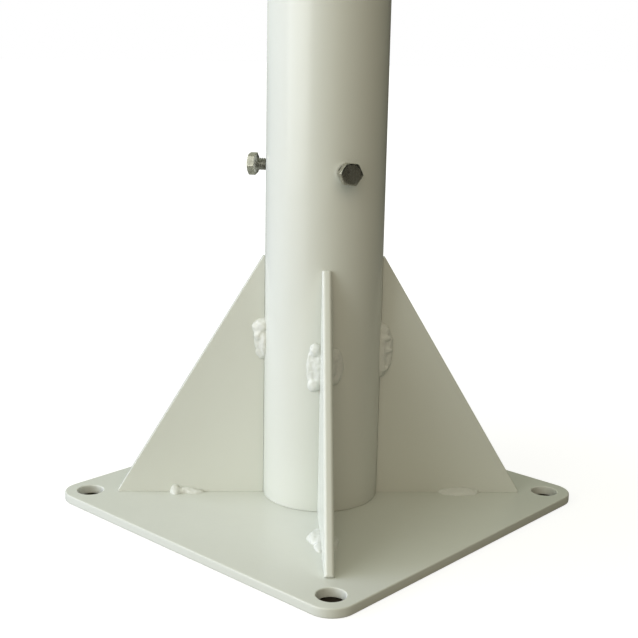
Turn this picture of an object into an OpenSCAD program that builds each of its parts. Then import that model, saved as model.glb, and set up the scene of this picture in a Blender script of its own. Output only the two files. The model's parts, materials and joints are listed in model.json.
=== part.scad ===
// Base section of a telescopic camera mast.
// A square foot plate carries the outer mast tube, four diagonal gussets brace
// it, and three set bolts clamp the next tube of the mast inside the bore.
// Z is up from the plate's underside, and X and Y run along the plate's sides.

/* [Foot plate] */
// Side of the square plate
plate_w = 250; // [200:1:320]
// Thickness of the plate
plate_t = 6; // [4:0.5:12]
// Radius of the plate's rounded corners
corner_r = 16; // [4:0.5:20]
// Diameter of the four anchor holes
anchor_d = 17; // [10:0.5:20]
// Distance from a hole's centre to each of the two near sides
anchor_inset = 16.5; // [12:0.5:24]

/* [Mast tube] */
// Outside diameter of the tube
tube_d = 76.1; // [60:0.1:95]
// Wall thickness of the tube
tube_wall = 3; // [2:0.1:4]
// Length of the tube above the plate
tube_len = 400; // [300:1:600]

/* [Gussets] */
// Thickness of a gusset
gusset_t = 6; // [4:0.5:10]
// Height of a gusset above the plate
gusset_h = 161; // [130:1:195]
// Width of the flat at a gusset's top
gusset_nose = 1; // [0.5:0.5:8]
// Height of the flat at a gusset's toe
gusset_toe = 1.5; // [0.5:0.5:8]
// Plate left bare between a gusset's toe and the edge of the anchor hole
toe_gap = 10.5; // [4:0.5:20]

/* [Weld beads] */
// Radius of a bead on the tube
tube_bead_r = 4.8; // [2:0.1:6]
// Radius of a bead on the plate
plate_bead_r = 4; // [2:0.5:6]
// Height of a tube bead's lower end above the plate
tube_bead_z = 80; // [20:1:90]
// Length of a tube bead, without its round ends
tube_bead_len = 30; // [10:1:32]
// Distance of a plate bead's inner end from the tube
plate_bead_gap = 40; // [10:1:45]
// Length of a plate bead, without its round ends
plate_bead_len = 20; // [10:1:24]

/* [Set bolts] */
// Height of the bolts above the plate
bolt_z = 218; // [205:1:280]
// Direction of the first bolt, turned from +X
bolt_turn = -30; // [-40:1:-10]
// Thread diameter
bolt_d = 8; // [5:0.5:10]
// Shank length under the head
bolt_len = 10; // [8:0.5:16]
// Head width across flats
bolt_af = 13; // [8:0.5:16]
// Head height
bolt_head_h = 5.3; // [3:0.1:7]
// Radial clearance of the shank in its hole
thread_gap = 0.05; // [0.01:0.01:0.1]
// Depth of a bolt's tip behind the tube's inside face
tip_setback = 0.1; // [0.05:0.05:1]

/* [Hidden] */
$fn = 96;
eps = 0.01;

tube_r = tube_d / 2;
bore_r = tube_r - tube_wall;
anchor_r = anchor_d / 2;
anchor_half = plate_w / 2 - anchor_inset;
toe_r = anchor_half * sqrt(2) - anchor_r - toe_gap;

bolt_r = bolt_d / 2;
bolt_head_r = bolt_af / 2 / cos(30);
bolt_tip_r = bore_r + tip_setback;
bolt_seat_r = bolt_tip_r + bolt_len;
bolt_chamfer = 0.8;
washer_face_h = 0.4;
face_r = bolt_af / 2 - 0.3;
chamfer_run = 2.4;

CORNERS = ["front", "right", "back", "left"];
SIDES = ["left", "right"];
BOLTS = ["front", "back", "left"];
// Each head stopped at its own turn when its bolt was screwed in.
HEAD_TURNS = [24.5, 8, 20];

// The corner directions run along the plate's diagonals, front (+X -Y) first.
function corner_angle(i) = 90 * i - 45;
function bolt_angle(i) = bolt_turn + 120 * i;
// The left of a gusset is its left side as seen from outside, facing its edge.
function side_sign(j) = j == 0 ? -1 : 1;

module at_corner(i) {
    rotate([0, 0, corner_angle(i)]) children();
}

// Turns +Z outward along a bolt's axis, at the bolts' height.
module at_bolt(i) {
    translate([0, 0, plate_t + bolt_z])
        rotate([0, 0, bolt_angle(i)])
            rotate([0, 90, 0])
                children();
}

module plate_outline() {
    core_w = plate_w - 2 * corner_r;
    square([plate_w, core_w], center = true);
    square([core_w, plate_w], center = true);
    for (x = [-1, 1], y = [-1, 1])
        translate([x, y] * core_w / 2) circle(r = corner_r);
}

module base_plate() {
    color("gainsboro")
        difference() {
            linear_extrude(plate_t) plate_outline();
            for (x = [-1, 1], y = [-1, 1])
                translate([x * anchor_half, y * anchor_half, -eps])
                    cylinder(r = anchor_r, h = plate_t + 2 * eps);
        }
}

module mast_tube() {
    color("whitesmoke")
        difference() {
            translate([0, 0, plate_t]) cylinder(r = tube_r, h = tube_len);
            translate([0, 0, plate_t - eps]) cylinder(r = bore_r, h = tube_len + 2 * eps);
            for (i = [0:2])
                at_bolt(i)
                    translate([0, 0, bore_r / 2])
                        cylinder(r = bolt_r + thread_gap, h = tube_r);
        }
}

// A triangular web standing on the plate, with its inner edge on the tube.
module gusset(i) {
    color("gainsboro")
        at_corner(i)
            translate([0, gusset_t / 2, plate_t])
                rotate([90, 0, 0])
                    linear_extrude(gusset_t)
                        polygon([
                            [tube_r, 0],
                            [toe_r, 0],
                            [toe_r, gusset_toe],
                            [tube_r + gusset_nose, gusset_h],
                            [tube_r, gusset_h]
                        ]);
}

// A bead with round ends, from the origin along +Z.
module bead(r, length) {
    cylinder(r = r, h = length);
    sphere(r = r);
    translate([0, 0, length]) sphere(r = r);
}

// The metal that a bead runs along, so that the bead lies in the corner between.
module bead_seat() {
    translate([0, 0, -plate_t]) cylinder(r = tube_r, h = tube_len);
    translate([0, -gusset_t / 2, -plate_t]) cube([toe_r, gusset_t, gusset_h]);
    translate([0, -plate_w, -2 * plate_t]) cube([plate_w, 2 * plate_w, 2 * plate_t]);
}

module weld_tube(i, j) {
    color("white")
        at_corner(i)
            translate([0, 0, plate_t])
                difference() {
                    translate([tube_r, side_sign(j) * gusset_t / 2, tube_bead_z])
                        bead(tube_bead_r, tube_bead_len);
                    bead_seat();
                }
}

module weld_plate(i, j) {
    color("white")
        at_corner(i)
            translate([0, 0, plate_t])
                difference() {
                    translate([tube_r + plate_bead_gap, side_sign(j) * gusset_t / 2, 0])
                        rotate([0, 90, 0])
                            bead(plate_bead_r, plate_bead_len);
                    bead_seat();
                }
}

// Hexagon with its outer corners turned off, as on a pressed bolt head.
module bolt_head(turn) {
    hex_h = bolt_head_h - washer_face_h;
    translate([0, 0, washer_face_h])
        intersection() {
            rotate([0, 0, turn]) cylinder(r = bolt_head_r, h = hex_h, $fn = 6);
            cylinder(r1 = face_r + chamfer_run * hex_h, r2 = face_r, h = hex_h);
        }
    cylinder(r = face_r, h = washer_face_h);
}

module set_bolt(i) {
    color("darkgray")
        at_bolt(i)
            translate([0, 0, bolt_seat_r]) {
                bolt_head(HEAD_TURNS[i]);
                translate([0, 0, bolt_chamfer - bolt_len])
                    cylinder(r = bolt_r, h = bolt_len - bolt_chamfer);
                translate([0, 0, -bolt_len])
                    cylinder(r1 = bolt_r - bolt_chamfer, r2 = bolt_r, h = bolt_chamfer);
            }
}

base_plate();
mast_tube();
for (i = [0:3])
    gusset(i);
for (i = [0:2])
    set_bolt(i);
for (i = [0:3], j = [0:1])
    weld_tube(i, j);
for (i = [0:3], j = [0:1])
    weld_plate(i, j);
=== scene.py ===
"""Looks of a telescopic mast's base section: powder-coated steel, tack welds and set bolts.

Every length is in metres, in the CAD frame: Z is up from the plate's underside, and X
and Y run along the plate's sides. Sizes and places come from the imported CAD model, and
only details that the CAD leaves out, such as a fillet or a thread, have sizes of their
own here.
"""

import json
import logging
import math
from collections.abc import Callable, Iterable, Sequence
from dataclasses import dataclass
from enum import Enum
from itertools import product
from typing import NamedTuple

import bmesh
import bpy
from bmesh.types import BMesh, BMVert
from mathutils import Matrix, Vector, noise


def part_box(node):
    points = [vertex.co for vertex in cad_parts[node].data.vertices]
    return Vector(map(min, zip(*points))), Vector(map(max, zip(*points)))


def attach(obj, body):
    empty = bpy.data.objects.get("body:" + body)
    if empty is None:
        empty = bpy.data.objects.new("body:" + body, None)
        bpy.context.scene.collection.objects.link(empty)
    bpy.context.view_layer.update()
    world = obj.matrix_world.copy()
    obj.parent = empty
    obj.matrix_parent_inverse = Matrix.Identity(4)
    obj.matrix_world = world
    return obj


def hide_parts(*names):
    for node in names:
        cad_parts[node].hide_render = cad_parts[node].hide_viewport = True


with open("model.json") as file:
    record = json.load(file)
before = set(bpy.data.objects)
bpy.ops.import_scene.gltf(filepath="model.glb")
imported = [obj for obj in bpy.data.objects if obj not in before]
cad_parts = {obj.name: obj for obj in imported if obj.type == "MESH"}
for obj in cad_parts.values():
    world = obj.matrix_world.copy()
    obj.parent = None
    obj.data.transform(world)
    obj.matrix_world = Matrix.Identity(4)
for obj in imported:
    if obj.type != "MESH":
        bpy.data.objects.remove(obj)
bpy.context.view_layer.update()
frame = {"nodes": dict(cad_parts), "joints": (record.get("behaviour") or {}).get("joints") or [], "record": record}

MM = 0.001
QUARTER_TURN = math.pi / 2
HALF_TURN = math.pi
FULL_TURN = 2 * math.pi
FULL_DEGREES = 360
UP = Vector((0, 0, 1))
NOISE_SEED = 5

LOG = logging.getLogger("mast_base")

Colour = tuple[float, float, float, float]
Loop = list[BMVert]


# ---------------------------------------------------------------- sizes from the frame


class PlaceName(Enum):
    """A choice whose name is part of a CAD node's name."""

    @property
    def label(self) -> str:
        """The name as the CAD nodes spell it."""
        return self.name.lower()


class Corner(PlaceName):
    """The plate's four diagonals, each with the direction of its gusset in degrees."""

    FRONT = -45.0
    RIGHT = 45.0
    BACK = 135.0
    LEFT = 225.0


class Side(PlaceName):
    """The two faces of a gusset, as seen from outside, facing its edge."""

    LEFT = -1
    RIGHT = 1


@dataclass(frozen=True)
class MastSizes:
    """Sizes and places that the Blender pieces share with the CAD solids."""

    plate_half: float
    plate_top: float
    anchor_half: float
    anchor_radius: float
    tube_radius: float
    tube_top: float
    bore_radius: float
    web_thickness: float
    web_top: float
    web_toe: float
    bolt_height: float
    bolt_tip: float
    bolt_face: float

    @classmethod
    def from_frame(cls) -> "MastSizes":
        """Reads the sizes from the nodes' boxes and the record's mounts.

        Returns:
            The sizes, in metres.
        """
        mounts = {m["name"]: m["dims"] for m in frame["record"]["mounts"] if m["dims"]}
        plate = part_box("base_plate")[1]
        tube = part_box("mast_tube")[1]
        web_low, web_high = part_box("gusset_front")
        bolt_low, bolt_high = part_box("set_bolt_back")
        thickness = 2 * (tube.x - math.sqrt(2) * web_low.x)
        return cls(
            plate_half=plate.x,
            plate_top=plate.z,
            anchor_half=mounts["anchor_holes"]["spacing_x_mm"] / 2 * MM,
            anchor_radius=mounts["anchor_holes"]["hole_r_mm"] * MM,
            tube_radius=tube.x,
            tube_top=tube.z,
            bore_radius=mounts["mast_bore"]["r_mm"] * MM,
            web_thickness=thickness,
            web_top=web_high.z,
            web_toe=math.sqrt(2) * web_high.x - thickness / 2,
            bolt_height=(bolt_low.z + bolt_high.z) / 2,
            bolt_tip=bolt_low.y,
            bolt_face=bolt_high.y,
        )


def polar(radius: float, degrees: float, z: float = 0.0) -> Vector:
    """Point at a radius and an angle from +X, at height z."""
    turn = math.radians(degrees)
    return Vector((radius * math.cos(turn), radius * math.sin(turn), z))


def turned(degrees: float) -> Matrix:
    """Matrix that turns the +X axis to an angle about Z."""
    return Matrix.Rotation(math.radians(degrees), 4, "Z")


def put(name: str, data: bpy.types.ID) -> bpy.types.Object:
    """Makes an object of a mesh, a lamp or a camera and puts it in the scene.

    Args:
        name: The object's name.
        data: What it shows.

    Returns:
        The new object.
    """
    thing = bpy.data.objects.new(name, data)
    bpy.context.scene.collection.objects.link(thing)
    return thing


def flat_panel(
    name: str, corners: Sequence[Sequence[float]], finish: bpy.types.Material
) -> bpy.types.Object:
    """Puts a flat panel with four corners in the studio.

    Args:
        name: The panel's name.
        corners: Its corners in order.
        finish: Its material.

    Returns:
        The panel.
    """
    data = bpy.data.meshes.new(name)
    data.from_pydata(corners, [], [(0, 1, 2, 3)])
    data.materials.append(finish)
    panel = put(name, data)
    return panel


# --------------------------------------------------------------------- mesh building


class Shell:
    """A closed mesh that is built loop by loop and then becomes a piece."""

    def __init__(self) -> None:
        """Starts with an empty mesh."""
        self.mesh: BMesh = bmesh.new()

    def loop(self, points: Iterable[Vector]) -> Loop:
        """Adds a loop of points.

        Args:
            points: The loop's points in order.

        Returns:
            The new vertices in the same order.
        """
        return [self.mesh.verts.new(p) for p in points]

    def bridge(self, first: Loop, second: Loop, finish: int = 0) -> None:
        """Joins two closed loops of the same length with quads.

        Args:
            first: One loop.
            second: The other loop.
            finish: Index of the material on the new faces.
        """
        count = len(first)
        for i in range(count):
            j = (i + 1) % count
            face = self.mesh.faces.new((first[i], first[j], second[j], second[i]))
            face.material_index = finish

    def skin(self, loops: Sequence[Loop], finish: int = 0) -> None:
        """Joins each loop to the next one.

        Args:
            loops: Closed loops of the same length, in order.
            finish: Index of the material on the new faces.
        """
        for first, second in zip(loops, loops[1:]):
            self.bridge(first, second, finish)

    def cap(self, rim: Loop, centre: Vector, finish: int = 0) -> None:
        """Closes a loop with triangles to one middle point.

        Args:
            rim: The loop to close.
            centre: Where the middle point lies.
            finish: Index of the material on the new faces.
        """
        middle = self.mesh.verts.new(centre)
        for i, corner in enumerate(rim):
            face = self.mesh.faces.new((corner, rim[(i + 1) % len(rim)], middle))
            face.material_index = finish

    def fill(self, loops: Sequence[Loop]) -> None:
        """Fills a flat face whose first loop is its rim and the others its holes.

        Args:
            loops: The rim and the holes.
        """
        edges = []
        for loop in loops:
            for i, corner in enumerate(loop):
                pair = (corner, loop[(i + 1) % len(loop)])
                edges.append(self.mesh.edges.get(pair) or self.mesh.edges.new(pair))
        bmesh.ops.triangle_fill(self.mesh, use_beauty=True, edges=edges)

    def piece(
        self,
        name: str,
        finishes: Sequence[bpy.types.Material],
        place: Matrix | None = None,
    ) -> bpy.types.Object:
        """Turns the shell into an object and puts it in the scene.

        Args:
            name: The piece's name.
            finishes: Its materials, in the order of the faces' indices.
            place: Where the mesh goes in the frame, or None where it is in place.

        Returns:
            The new object, whose vertices are in the frame's coordinates.
        """
        if place is not None:
            self.mesh.transform(place)
        bmesh.ops.recalc_face_normals(self.mesh, faces=self.mesh.faces)
        for face in self.mesh.faces:
            face.smooth = True
        data = bpy.data.meshes.new(name)
        self.mesh.to_mesh(data)
        self.mesh.free()
        for finish in finishes:
            data.materials.append(finish)
        return put(name, data)


def mount_piece(piece: bpy.types.Object, body: str, node: str) -> None:
    """Rides a piece on its body in place of its CAD node, and logs it.

    Args:
        piece: The piece, already in place.
        body: The CAD body that carries it.
        node: The CAD node that it stands for.
    """
    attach(piece, body)
    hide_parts(node)
    LOG.info("%s: %d faces, on %s", piece.name, len(piece.data.polygons), body)


@dataclass(frozen=True)
class RoundedEdge:
    """A quarter-round edge between a side and a flat face.

    Attributes:
        radius: Radius of the round.
        steps: Flats in the quarter turn.
        support: Width of the strip that keeps the flat face flat beside the round.
    """

    radius: float = 0.8 * MM
    steps: int = 5
    support: float = 0.25 * MM

    def profile(self) -> list[tuple[float, float]]:
        """The edge from the flat face outward to the side.

        Returns:
            Pairs of the inset from the side and the depth below the flat face.
        """
        pairs = [(self.radius + self.support, 0.0)]
        for i in range(self.steps + 1):
            turn = QUARTER_TURN * i / self.steps
            inset = self.radius * (1 - math.sin(turn))
            depth = self.radius * (1 - math.cos(turn))
            pairs.append((inset, depth))
        return pairs


@dataclass(frozen=True)
class RoundedOutline:
    """A convex outline with round corners, that can be inset.

    Attributes:
        corners: The sharp corners, anticlockwise.
        radii: The round at each corner.
        shares: Size of the edge's round along the side after each corner, from 0 to 1.
        steps: Flats in each corner's arc.
    """

    corners: tuple[tuple[float, float], ...]
    radii: tuple[float, ...]
    shares: tuple[float, ...]
    steps: int = 12

    def points(self, inset: float = 0.0) -> list[tuple[float, float]]:
        """The outline's points.

        Args:
            inset: How far the sides move inward, each times its share.

        Returns:
            The points in order, as many at every inset.
        """
        found = []
        count = len(self.corners)
        for i, (corner, radius) in enumerate(zip(self.corners, self.radii)):
            here = Vector(corner)
            back = (Vector(self.corners[i - 1]) - here).normalized()
            ahead = (Vector(self.corners[(i + 1) % count]) - here).normalized()
            half = back.angle(ahead) / 2
            before, after = self.shares[i - 1] * inset, self.shares[i] * inset
            here += (ahead * before + back * after) / math.sin(2 * half)
            reach = radius - (before + after) / 2
            centre = here + (back + ahead).normalized() * reach / math.sin(half)
            start = math.atan2(-back.x, back.y) + HALF_TURN
            sweep = HALF_TURN - 2 * half
            for step in range(self.steps + 1):
                turn = start + sweep * step / self.steps
                found.append(
                    (centre.x + reach * math.cos(turn), centre.y + reach * math.sin(turn))
                )
        return found

    def depths(self) -> list[float]:
        """The edge's share at each of the outline's points."""
        found = []
        for i, share in enumerate(self.shares):
            before = self.shares[i - 1]
            found += [before + (share - before) * k / self.steps for k in range(self.steps + 1)]
        return found


@dataclass(frozen=True)
class PlateHole:
    """A round hole through a plate, whose rims are rounded like the plate's edge.

    Attributes:
        centre: The hole's centre in the plate's plane.
        radius: The hole's radius.
        share: Size of its rim's round against the plate's edge.
        steps: Flats round the hole.
    """

    centre: tuple[float, float]
    radius: float
    share: float = 0.8
    steps: int = 48

    def points(self, inset: float = 0.0) -> list[tuple[float, float]]:
        """The hole's points, moved outward from its wall by inset."""
        reach = self.radius + inset * self.share
        return [
            (
                self.centre[0] + reach * math.cos(FULL_TURN * i / self.steps),
                self.centre[1] + reach * math.sin(FULL_TURN * i / self.steps),
            )
            for i in range(self.steps)
        ]

    def depths(self) -> list[float]:
        """The rim's share at each of the hole's points."""
        return [self.share] * self.steps


@dataclass(frozen=True)
class CutPlate:
    """A flat steel plate with rounded edges and round holes, from 0 to its thickness.

    Attributes:
        outline: The plate's outline.
        thickness: The plate's thickness.
        edge: The round along every edge.
        holes: The holes through it.
    """

    outline: RoundedOutline
    thickness: float
    edge: RoundedEdge = RoundedEdge()
    holes: tuple[PlateHole, ...] = ()

    def shell(self) -> Shell:
        """Builds the plate's mesh.

        Returns:
            A closed shell, with the plate lying on the XY plane.
        """
        shell = Shell()
        rims = []
        for shape in (self.outline, *self.holes):
            loops = self._wall(shell, shape)
            rims.append((loops[0], loops[-1]))
        shell.fill([bottom for bottom, _ in rims])
        shell.fill([top for _, top in rims])
        return shell

    def _wall(self, shell: Shell, shape: RoundedOutline | PlateHole) -> list[Loop]:
        """Builds one wall, with its bottom and top rounds.

        Args:
            shell: The shell that the wall joins.
            shape: The outline or the hole that the wall follows.

        Returns:
            The wall's loops from the bottom face to the top face.
        """
        profile = self.edge.profile()
        steps = [(inset, depth, 0.0, 1) for inset, depth in profile]
        steps += [(inset, depth, self.thickness, -1) for inset, depth in reversed(profile)]
        shares = shape.depths()
        loops = [
            shell.loop(
                Vector((x, y, base + way * depth * share))
                for (x, y), share in zip(shape.points(inset), shares)
            )
            for inset, depth, base, way in steps
        ]
        shell.skin(loops)
        return loops


# -------------------------------------------------------------------- shader building


class Nodes:
    """A short hand for wiring a shader or group node tree."""

    def __init__(self, tree: bpy.types.NodeTree) -> None:
        """Wraps a node tree."""
        self.tree = tree

    def add(self, kind: str, **settings: object) -> bpy.types.Node:
        """Adds a node and sets its plain properties.

        Args:
            kind: The node's type, such as ShaderNodeMath.
            **settings: Properties of the node.

        Returns:
            The new node.
        """
        node = self.tree.nodes.new(kind)
        for name, value in settings.items():
            setattr(node, name, value)
        return node

    def feed(self, socket: bpy.types.NodeSocket, value: object) -> None:
        """Links a socket to value, or sets it where value isn't a socket."""
        if isinstance(value, bpy.types.NodeSocket):
            self.tree.links.new(value, socket)
        else:
            socket.default_value = value

    def maths(self, operation: str, *values: object) -> bpy.types.NodeSocket:
        """A Math node's result.

        Args:
            operation: The node's operation.
            *values: Sockets or numbers for its inputs.

        Returns:
            The output socket.
        """
        node = self.add("ShaderNodeMath", operation=operation)
        for socket, value in zip(node.inputs, values):
            self.feed(socket, value)
        return node.outputs[0]

    def mix(self, share: object, first: object, second: object) -> bpy.types.NodeSocket:
        """A colour between first and second.

        Args:
            share: 0 for first and 1 for second.
            first: A colour or a socket.
            second: A colour or a socket.

        Returns:
            The output socket.
        """
        node = self.add("ShaderNodeMix", data_type="RGBA")
        self.feed(node.inputs["Factor"], share)
        self.feed(node.inputs[6], first)
        self.feed(node.inputs[7], second)
        return node.outputs[2]

    def ramp(
        self, value: object, low: object, high: object, start: object = 0.0, end: object = 1.0
    ) -> bpy.types.NodeSocket:
        """Maps value smoothly from low..high to start..end.

        Args:
            value: The socket to map.
            low: Where the change begins.
            high: Where it ends.
            start: The result at low.
            end: The result at high.

        Returns:
            The output socket.
        """
        node = self.add("ShaderNodeMapRange", interpolation_type="SMOOTHSTEP")
        for name, item in zip(
            ("Value", "From Min", "From Max", "To Min", "To Max"),
            (value, low, high, start, end),
        ):
            self.feed(node.inputs[name], item)
        return node.outputs[0]

    def place(self) -> bpy.types.NodeSocket:
        """The point on the piece, in the frame's metres."""
        return self.add("ShaderNodeTexCoord").outputs["Object"]

    def noise(
        self, place: object, scale: object, detail: float = 2.0, rough: float = 0.5
    ) -> bpy.types.NodeSocket:
        """Noise from 0 to 1 over the piece.

        Args:
            place: The point to read it at.
            scale: Features in a metre.
            detail: Octaves added.
            rough: Strength of the finer octaves.

        Returns:
            The value socket.
        """
        node = self.add("ShaderNodeTexNoise")
        self.feed(node.inputs["Vector"], place)
        self.feed(node.inputs["Scale"], scale)
        node.inputs["Detail"].default_value = detail
        node.inputs["Roughness"].default_value = rough
        return node.outputs["Fac"]


class SocketKind(Enum):
    """The kinds of socket on a shader node group."""

    NUMBER = "NodeSocketFloat"
    COLOUR = "NodeSocketColor"


@dataclass(frozen=True)
class GroupSockets:
    """The named inputs and outputs of a shader node group."""

    inputs: dict[str, SocketKind]
    outputs: dict[str, SocketKind]


class ShaderGroup:
    """A shader node group that is built once and placed in many materials."""

    name: str = ""
    sockets = GroupSockets({}, {})

    def __init__(self) -> None:
        """Builds the group's tree."""
        self.tree = bpy.data.node_groups.new(self.name, "ShaderNodeTree")
        for label, kind in self.sockets.inputs.items():
            self.tree.interface.new_socket(label, in_out="INPUT", socket_type=kind.value)
        for label, kind in self.sockets.outputs.items():
            self.tree.interface.new_socket(label, in_out="OUTPUT", socket_type=kind.value)
        nodes = Nodes(self.tree)
        given = nodes.add("NodeGroupInput").outputs
        made = nodes.add("NodeGroupOutput").inputs
        for label, socket in self.wire(nodes, given).items():
            nodes.feed(made[label], socket)

    def wire(self, nodes: Nodes, given: bpy.types.NodeOutputs) -> dict[str, object]:
        """Wires the group.

        Args:
            nodes: The group's tree.
            given: The group's input sockets.

        Returns:
            The socket for each named output.
        """
        raise NotImplementedError

    def placed(self, nodes: Nodes, **values: object) -> bpy.types.NodeOutputs:
        """Places the group in a material.

        Args:
            nodes: The material's tree.
            **values: A value or a socket for each input, with _ for a space.

        Returns:
            The placed group's outputs.
        """
        node = nodes.add("ShaderNodeGroup", node_tree=self.tree)
        for label, value in values.items():
            nodes.feed(node.inputs[label.replace("_", " ")], value)
        return node.outputs


class OrangePeel(ShaderGroup):
    """The fine ripple of a powder coat, with slow waves under it."""

    name = "OrangePeel"
    sockets = GroupSockets(
        {"Ripple Scale": SocketKind.NUMBER, "Wave Scale": SocketKind.NUMBER,
         "Wave Share": SocketKind.NUMBER},
        {"Height": SocketKind.NUMBER},
    )

    def wire(self, nodes: Nodes, given: bpy.types.NodeOutputs) -> dict[str, object]:
        """Adds the slow waves to the ripple. See ShaderGroup.wire."""
        place = nodes.place()
        ripple = nodes.noise(place, given["Ripple Scale"], detail=1.0)
        wave = nodes.noise(place, given["Wave Scale"], detail=1.0)
        swell = nodes.maths("MULTIPLY", wave, given["Wave Share"])
        return {"Height": nodes.maths("ADD", ripple, swell)}


class SlowDrift(ShaderGroup):
    """A colour that drifts a little over the surface."""

    name = "SlowDrift"
    sockets = GroupSockets(
        {"Colour": SocketKind.COLOUR, "Other Colour": SocketKind.COLOUR,
         "Scale": SocketKind.NUMBER, "Strength": SocketKind.NUMBER},
        {"Colour": SocketKind.COLOUR, "Mask": SocketKind.NUMBER},
    )

    def wire(self, nodes: Nodes, given: bpy.types.NodeOutputs) -> dict[str, object]:
        """Mixes the two colours by cloudy noise. See ShaderGroup.wire."""
        cloud = nodes.noise(nodes.place(), given["Scale"], detail=1.0)
        mask = nodes.ramp(cloud, 0.15, 0.85)
        share = nodes.maths("MULTIPLY", mask, given["Strength"])
        colour = nodes.mix(share, given["Colour"], given["Other Colour"])
        return {"Colour": colour, "Mask": mask}


class SeamShade(ShaderGroup):
    """Painted shade in the corners where two pieces meet, patchy over the surface."""

    name = "SeamShade"
    sockets = GroupSockets(
        {"Colour": SocketKind.COLOUR, "Dust Colour": SocketKind.COLOUR,
         "Reach": SocketKind.NUMBER, "Strength": SocketKind.NUMBER},
        {"Colour": SocketKind.COLOUR, "Mask": SocketKind.NUMBER},
    )

    def wire(self, nodes: Nodes, given: bpy.types.NodeOutputs) -> dict[str, object]:
        """Darkens what lies deep in a corner. See ShaderGroup.wire."""
        # Painted shade: the colour goes towards the dark colour where occlusion finds nearby surfaces.
        occlusion = nodes.add("ShaderNodeAmbientOcclusion", samples=6)
        nodes.feed(occlusion.inputs["Distance"], given["Reach"])
        deep = nodes.ramp(occlusion.outputs["AO"], 0.15, 0.6, 1.0, 0.0)
        patch = nodes.ramp(nodes.noise(nodes.place(), 140.0, detail=3.0), 0.25, 0.75)
        share = nodes.maths("MULTIPLY", deep, nodes.maths("ADD", patch, 0.4))
        mask = nodes.maths("MULTIPLY", share, given["Strength"])
        colour = nodes.mix(mask, given["Colour"], given["Dust Colour"])
        return {"Colour": colour, "Mask": mask}


class Specks(ShaderGroup):
    """Rare small specks of dust caught in the coat."""

    name = "Specks"
    sockets = GroupSockets(
        {"Scale": SocketKind.NUMBER, "Share": SocketKind.NUMBER, "Size": SocketKind.NUMBER},
        {"Mask": SocketKind.NUMBER},
    )

    def wire(self, nodes: Nodes, given: bpy.types.NodeOutputs) -> dict[str, object]:
        """Keeps a few of the cells' middles. See ShaderGroup.wire."""
        cells = nodes.add("ShaderNodeTexVoronoi", feature="F1")
        nodes.feed(cells.inputs["Vector"], nodes.place())
        nodes.feed(cells.inputs["Scale"], given["Scale"])
        near = nodes.ramp(cells.outputs["Distance"], 0.0, given["Size"], 1.0, 0.0)
        pick = nodes.add("ShaderNodeSeparateColor")
        nodes.feed(pick.inputs[0], cells.outputs["Color"])
        kept = nodes.maths("LESS_THAN", pick.outputs[0], given["Share"])
        return {"Mask": nodes.maths("MULTIPLY", near, kept)}


class Scratches(ShaderGroup):
    """Fine scratches in several directions."""

    name = "Scratches"
    sockets = GroupSockets(
        {"Scale": SocketKind.NUMBER, "Sparseness": SocketKind.NUMBER},
        {"Mask": SocketKind.NUMBER},
    )

    def wire(self, nodes: Nodes, given: bpy.types.NodeOutputs) -> dict[str, object]:
        """Stretches noise along three directions. See ShaderGroup.wire."""
        place = nodes.place()
        total: object = 0.0
        for tilt in (0.3, 1.2, 2.4):
            mapping = nodes.add("ShaderNodeMapping")
            nodes.feed(mapping.inputs["Vector"], place)
            mapping.inputs["Rotation"].default_value = (tilt, tilt * 0.7, tilt * 1.9)
            mapping.inputs["Scale"].default_value = (1.0, 0.06, 0.3)
            lines = nodes.noise(mapping.outputs[0], given["Scale"], detail=1.0)
            top = nodes.maths("ADD", given["Sparseness"], 0.06)
            total = nodes.maths("MAXIMUM", total, nodes.ramp(lines, given["Sparseness"], top))
        return {"Mask": total}


class ShaderKit:
    """The node groups that the finishes share."""

    def __init__(self) -> None:
        """Builds each group once."""
        self.orange_peel = OrangePeel()
        self.slow_drift = SlowDrift()
        self.seam_shade = SeamShade()
        self.specks = Specks()
        self.scratches = Scratches()


def new_material(name: str) -> tuple[bpy.types.Material, Nodes, bpy.types.Node]:
    """Makes a material with a Principled shader.

    Args:
        name: The material's name.

    Returns:
        The material, its tree and its shader node.
    """
    material = bpy.data.materials.new(name)
    material.use_nodes = True
    nodes = Nodes(material.node_tree)
    shader = material.node_tree.nodes["Principled BSDF"]
    return material, nodes, shader


def add_bump(nodes: Nodes, shader: bpy.types.Node, height: object, depth: float) -> None:
    """Feeds a height into the shader's normal.

    Args:
        nodes: The material's tree.
        shader: The Principled shader.
        height: The height socket, from 0 to 1.
        depth: How deep a height of 1 is, in metres.
    """
    bump = nodes.add("ShaderNodeBump")
    bump.inputs["Distance"].default_value = depth
    nodes.feed(bump.inputs["Height"], height)
    nodes.feed(shader.inputs["Normal"], bump.outputs[0])


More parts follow.
